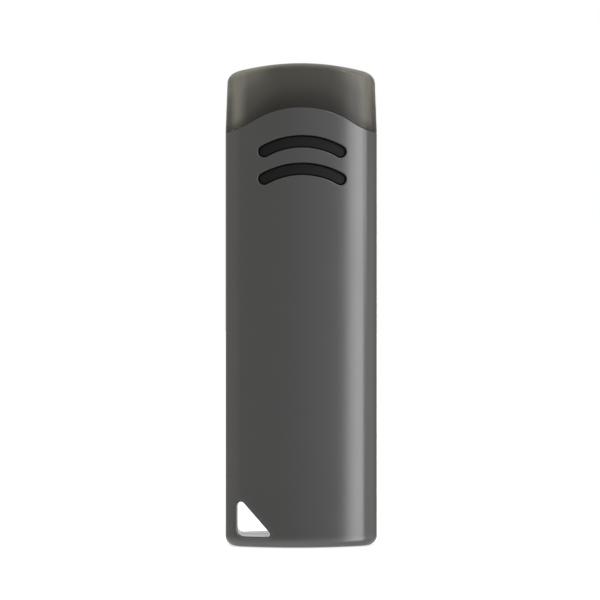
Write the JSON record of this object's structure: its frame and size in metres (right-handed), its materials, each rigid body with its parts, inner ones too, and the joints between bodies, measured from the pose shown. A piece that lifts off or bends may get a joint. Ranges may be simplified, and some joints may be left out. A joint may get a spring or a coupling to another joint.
{
  "type": "friction eraser",
  "caption": "Pocket friction eraser: flat satin grey split case with arched rubber grip strips and a triangular strap hole, holding a smoky translucent rubber head.",
  "frame": {"origin": "middle of the flat base, under the middle of the case", "axes": "+Z along the length from the base to the rubber head, -Y out of the front face, +X to the right seen from the front; the strap hole is at -X"},
  "size_m": [0.02, 0.008, 0.0631],
  "materials": {
    "case_plastic": "satin moulded plastic, fine even texture",
    "eraser_rubber": "smoky translucent elastomer, softly frosted",
    "grip_rubber": "matt black rubber"
  },
  "bodies": {
    "root": {"front_shell": "case_plastic", "rear_shell": "case_plastic", "eraser_core": "eraser_rubber", "front_upper_grip": "grip_rubber", "rear_upper_grip": "grip_rubber", "front_lower_grip": "grip_rubber", "rear_lower_grip": "grip_rubber"}
  },
  "joints": []
}
